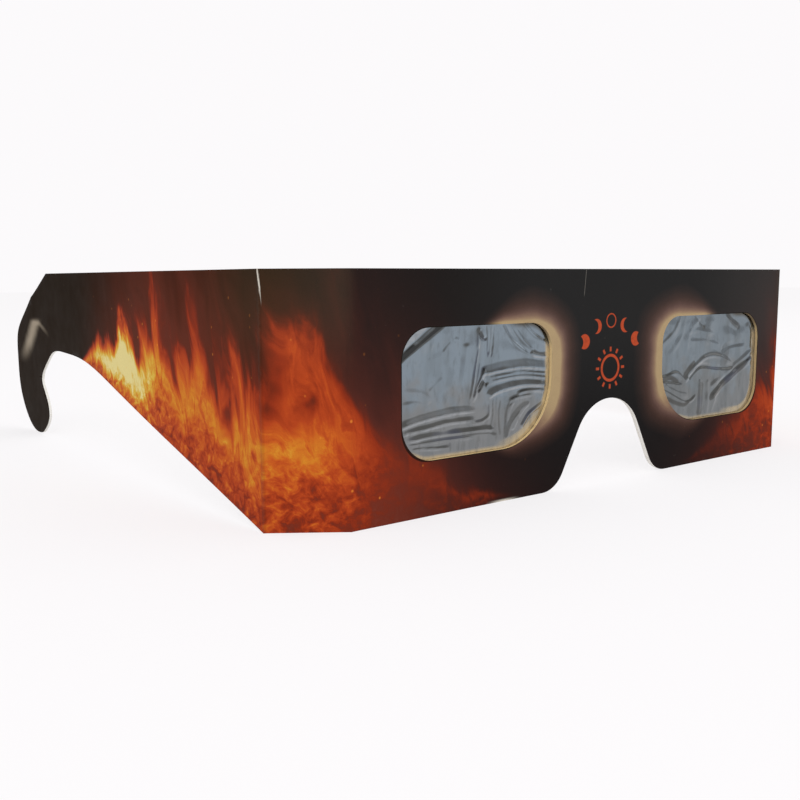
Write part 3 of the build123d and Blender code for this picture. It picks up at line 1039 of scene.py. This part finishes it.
def rimTones(sideName, across, up, reach):
    # across and up are shares of the opening's half size, reach is how far inside its outline
    shape = rimShape
    tone = np.zeros(len(reach))
    for share, width in (
        (climb(across, *shape["right"]) * climb(up, *shape["rightTop"]), shape["rightWidth"][sideName]),
        (climb(up, *shape["foot"]) * 0.9, shape["footWidth"]),
        (climb(across - up, *shape["corner"]), shape["cornerWidth"][sideName]),
    ):
        tone = np.maximum(tone, share * climb(reach, width, width - shape["soft"]))
    shaded = climb(across + up, *shape["shade"]) * climb(up, *shape["shadeTop"])
    return tone - shaded * climb(reach, *shape["shadeReach"]) * 0.9


def filmPiece(sideName, folds, bands):
    look, opening = filmShape, openings[sideName]
    low, high = (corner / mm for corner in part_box("film_" + sideName))
    step, gap = look["step"], look["endGap"]
    columns, rows = ceil((high.x - low.x) / step), ceil((high.z - low.z) / step)
    size = (rows + 1, columns + 1)
    grid = []
    for z in np.linspace(low.z + gap, high.z - gap, rows + 1):
        left, right = filmRow(opening, z, openingShape["filmMargin"])
        grid += [(x, z) for x in np.linspace(left, right, columns + 1)]
    local = np.array(grid) - (opening["middleX"], opening["middleZ"])

    height = sum(foldHeight(local, fold) for fold in folds) * look["lift"][sideName] + gentleWaves(local)
    height = softened(height.reshape(size)).ravel()
    reach = distanceInside(opening, local)
    rising = climb(reach, -look["holdReach"], 0) * look["edgeHold"]
    freed = climb(reach, 0, look["freeReach"])
    freed = freed * freed * (3 - 2 * freed)
    height = height * (rising + (1 - look["edgeHold"]) * freed)
    # painted shade and highlights: each slope of the folds darkens or lightens the film as if lit from one
    # side, then the bands paint over it
    slopeZ, slopeX = np.gradient(height.reshape(size), step)
    toneX, toneZ = look["paintedLightFrom"]
    tone = -(slopeX * toneX + slopeZ * toneZ).ravel() * look["toneGain"][sideName]
    addBands(local, tone, bands)
    tone = np.clip(tone, -look["toneLimit"], look["toneLimit"])
    rimTone = rimTones(sideName, *(local / (opening["halfWidth"], opening["halfHeight"])).T, reach)

    bm = bmesh.new()
    placeLayer = bm.verts.layers.float_vector.new("blankPlace")
    toneLayer = bm.verts.layers.float.new("foldPaintedShade")
    rimLayer = bm.verts.layers.float.new("rimTone")
    rings = [[] for _ in range(rows + 1)]
    for depth, order in ((low.y, 1), (high.y, -1)):
        skin = []
        for (x, z), lift, shade, rim in zip(grid, height, tone, rimTone):
            vert = bm.verts.new((x * mm, (depth - lift - frontWarp(x, z)) * mm, z * mm))
            vert[placeLayer] = (x, z, 0.0)
            vert[toneLayer] = shade
            vert[rimLayer] = rim
            skin.append(vert)
        for row, ring in enumerate(rings):
            ring += skin[row * (columns + 1):(row + 1) * (columns + 1)][::order]
    piece = stitchedPiece("wrinkledFilm" + sideName.capitalize(), bm, rings, "film", look["sharpAngle"])
    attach(piece, "front")
    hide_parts("film_" + sideName)
    print("film:", piece.name, "lift from", round(height.min(), 2), "to", round(height.max(), 2), "mm")


filmPiece("left", leftFolds, leftBands)
filmPiece("right", rightFolds, rightBands)


# Floor and studio
studio = {
    "backdrop": (0.972, 0.956, 0.968), "skyLight": 0.86,
    "floorSize": 6.0, "floorDrop": 0.02, "floorColour": (0.90, 0.885, 0.895), "floorGlow": 1.045,
    "shadowShare": 0.30,  # how much of the floor is lit, so that it keeps the shadow
    "ceiling": (0.30, 0.31, 0.33), "ceilingRise": (0.14, 0.62), "darkWall": (0.26, 0.26, 0.27),
    "aim": (0, -0.02, 0.02),
}


def rayKind(tree, *names):
    path = tree.nodes.new("ShaderNodeLightPath")
    seen = Signal(path.outputs[names[0]])
    for name in names[1:]:
        seen = seen.atLeast(Signal(path.outputs[name]))
    return seen


def makeFloor():
    bm = bmesh.new()
    bmesh.ops.create_grid(bm, x_segments=4, y_segments=4, size=studio["floorSize"] / 2)
    floor = placed("paleFloor", bpy.data.meshes.new("paleFloor"))
    bm.to_mesh(floor.data)
    bm.free()
    floor.location.z = -studio["floorDrop"] * mm
    material = bpy.data.materials.new("paleFloor")
    tree, surface = newTree(material)
    lit = added(tree, "BsdfDiffuse", Color=(*studio["floorColour"], 1.0))
    bright = added(tree, "Emission", Color=(*studio["backdrop"], 1.0), Strength=studio["floorGlow"])
    seen = rayKind(tree, "Is Camera Ray", "Is Glossy Ray", "Is Transmission Ray")
    mix = tree.nodes.new("ShaderNodeMixShader")
    for socket, value in zip(mix.inputs, (seen * (1.0 - studio["shadowShare"]), lit, bright)):
        plug(value, socket)
    tree.links.new(mix.outputs[0], surface)
    floor.data.materials.append(material)


def makeWorld():
    # pale backdrop; shiny surfaces also see a greyer ceiling high above it, and darker walls
    world = bpy.data.worlds.new("studio")
    bpy.context.scene.world = world
    tree, surface = newTree(world, "OutputWorld")
    x, y, z = split(added(tree, "TexCoord", "Generated"))
    shiny = rayKind(tree, "Is Glossy Ray")
    room = layered(
        studio["backdrop"],
        (x.rise(-0.05, -0.30) * y.rise(-0.1, 0.3) * shiny, studio["darkWall"]),
        (x.rise(0.55, 1.0) * shiny * 0.5, studio["darkWall"]),
        (z.rise(*studio["ceilingRise"]) * shiny, studio["ceiling"]),
    )
    seen = rayKind(tree, "Is Camera Ray", "Is Glossy Ray", "Is Transmission Ray")
    plug(added(tree, "Background", Color=mixed(seen, (studio["skyLight"],) * 3, room)), surface)


def makeLamp(name, place, size, power):
    lamp = bpy.data.lights.new(name, "AREA")
    lamp.shape = "RECTANGLE"
    lamp.size, lamp.size_y = size
    lamp.energy = power
    holder = placed(name, lamp)
    holder.location = place
    holder.rotation_euler = (Vector(studio["aim"]) - Vector(place)).to_track_quat("-Z", "Y").to_euler()


def makeCamera():
    view = {"place": (-139.96, -193.46, 40.43), "yaw": 36.92, "dip": 7.59, "roll": -0.286, "lens": 41.15}
    camera = bpy.data.cameras.new("photoView")
    camera.lens = view["lens"]
    camera.sensor_width = 36.0
    camera.clip_start = 0.01
    holder = placed("photoView", camera)
    holder.location = Vector(view["place"]) * mm
    aim = Euler((radians(90.0 - view["dip"]), 0.0, radians(-view["yaw"])), "XYZ").to_matrix()
    tilt = Euler((0.0, 0.0, radians(view["roll"])), "XYZ").to_matrix()
    holder.rotation_euler = (aim @ tilt).to_euler()
    bpy.context.scene.camera = holder


makeFloor()
makeWorld()
makeLamp("keyPanel", (-0.45, -0.70, 0.75), (0.7, 0.5), 2.2)
makeLamp("fillPanel", (0.75, -0.35, 0.45), (0.6, 0.6), 0.8)
makeCamera()
bpy.context.scene.view_settings.view_transform = "Standard"
print("studio ready")
